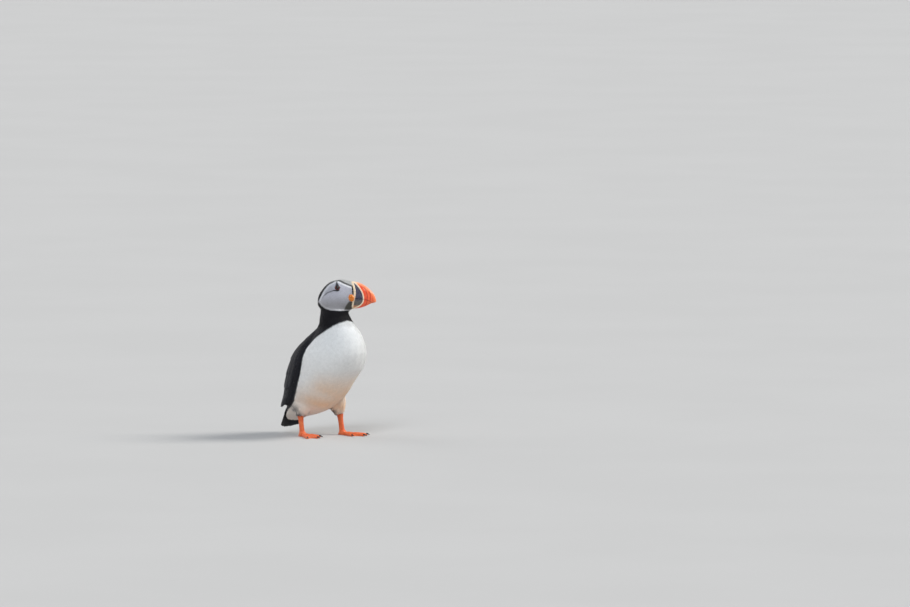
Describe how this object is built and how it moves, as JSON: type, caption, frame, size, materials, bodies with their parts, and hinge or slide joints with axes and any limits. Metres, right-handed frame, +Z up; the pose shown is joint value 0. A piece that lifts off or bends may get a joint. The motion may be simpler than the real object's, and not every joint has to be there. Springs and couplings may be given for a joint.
{
  "type": "atlantic puffin",
  "caption": "Life-size Atlantic puffin standing upright on webbed feet, head turned to its left, wings folded, deep ridged bill.",
  "frame": {"origin": "on the floor under the centre of the bird's box", "axes": "+Z up; the body faces -Y; +X is the bird's left, towards which its head and bill are turned"},
  "size_m": [0.1026, 0.145, 0.2252],
  "materials": {
    "plumage_face": "short dense soft feathers, matt",
    "plumage_dark": "dense contour feathers with a slight gloss",
    "plumage_white": "dense silky contour feathers",
    "leg_skin": "scaly bare skin, satin",
    "cere": "fine-grained horny rim",
    "bill_horn": "ridged horn, satin gloss",
    "gape_skin": "wrinkled bare skin, satin",
    "eye": "wet gloss",
    "claw": "smooth dark horn, satin"
  },
  "bodies": {
    "root": {"head": "plumage_face", "neck": "plumage_dark", "trunk": "plumage_white", "tail": "plumage_dark", "wing_left": "plumage_dark", "wing_right": "plumage_dark", "thigh_left": "plumage_white", "thigh_right": "plumage_white", "tarsus_left": "leg_skin", "tarsus_right": "leg_skin", "foot_left": "leg_skin", "foot_right": "leg_skin", "cere": "cere", "bill_upper": "bill_horn", "bill_lower": "bill_horn", "gape_left": "gape_skin", "gape_right": "gape_skin", "eye_left": "eye", "eye_right": "eye", "claw_inner_left": "claw", "claw_middle_left": "claw", "claw_outer_left": "claw", "claw_inner_right": "claw", "claw_middle_right": "claw", "claw_outer_right": "claw"}
  },
  "joints": []
}
